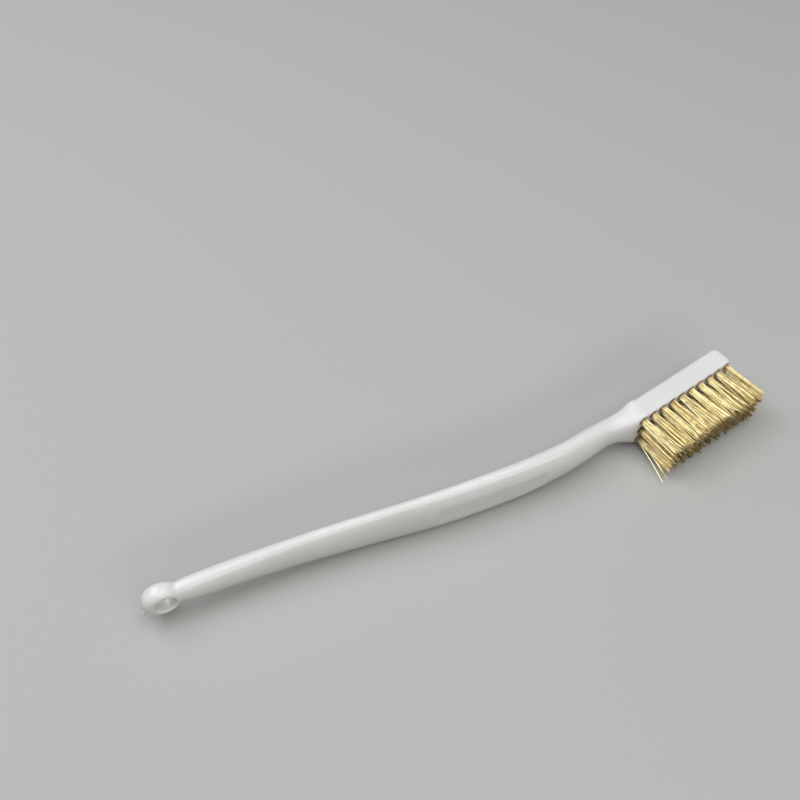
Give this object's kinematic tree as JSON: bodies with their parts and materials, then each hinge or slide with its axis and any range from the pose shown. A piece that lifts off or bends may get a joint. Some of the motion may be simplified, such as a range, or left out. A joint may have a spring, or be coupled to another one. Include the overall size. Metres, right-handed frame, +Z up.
{
  "type": "wire brush",
  "caption": "Hand wire brush: a moulded plastic handle with a bent-back oval grip, a waisted neck, a hanging eye and a narrow head holding straight brass wire in stapled tufts.",
  "frame": {"origin": "centre of the hanging hole, on the mid-plane of the handle", "axes": "the brush lies on its side: +X runs along the head from the hanging end to the tip, the wires point to -Y, +Z is up and is normal to the brush's plane of symmetry"},
  "size_m": [0.179, 0.0499, 0.015],
  "materials": {
    "handle_plastic": "milky white moulded plastic, smooth and glossy, slightly translucent",
    "brass_wire": "bright straight drawn brass wire, cut ends darker",
    "anchor_steel": "flat galvanised wire, hidden in the holes"
  },
  "bodies": {
    "root": {"handle": "handle_plastic", "tuft_row_1_column_01": "brass_wire", "tuft_row_1_column_02": "brass_wire", "tuft_row_1_column_03": "brass_wire", "tuft_row_1_column_04": "brass_wire", "tuft_row_1_column_05": "brass_wire", "tuft_row_1_column_06": "brass_wire", "tuft_row_1_column_07": "brass_wire", "tuft_row_1_column_08": "brass_wire", "tuft_row_1_column_09": "brass_wire", "tuft_row_1_column_10": "brass_wire", "tuft_row_2_column_01": "brass_wire", "tuft_row_2_column_02": "brass_wire", "tuft_row_2_column_03": "brass_wire", "tuft_row_2_column_04": "brass_wire", "tuft_row_2_column_05": "brass_wire", "tuft_row_2_column_06": "brass_wire", "tuft_row_2_column_07": "brass_wire", "tuft_row_2_column_08": "brass_wire", "tuft_row_2_column_09": "brass_wire", "tuft_row_2_column_10": "brass_wire", "tuft_row_3_column_01": "brass_wire", "tuft_row_3_column_02": "brass_wire", "tuft_row_3_column_03": "brass_wire", "tuft_row_3_column_04": "brass_wire", "tuft_row_3_column_05": "brass_wire", "tuft_row_3_column_06": "brass_wire", "tuft_row_3_column_07": "brass_wire", "tuft_row_3_column_08": "brass_wire", "tuft_row_3_column_09": "brass_wire", "tuft_row_3_column_10": "brass_wire", "anchors_row_1": "anchor_steel", "anchors_row_2": "anchor_steel", "anchors_row_3": "anchor_steel"}
  },
  "joints": []
}
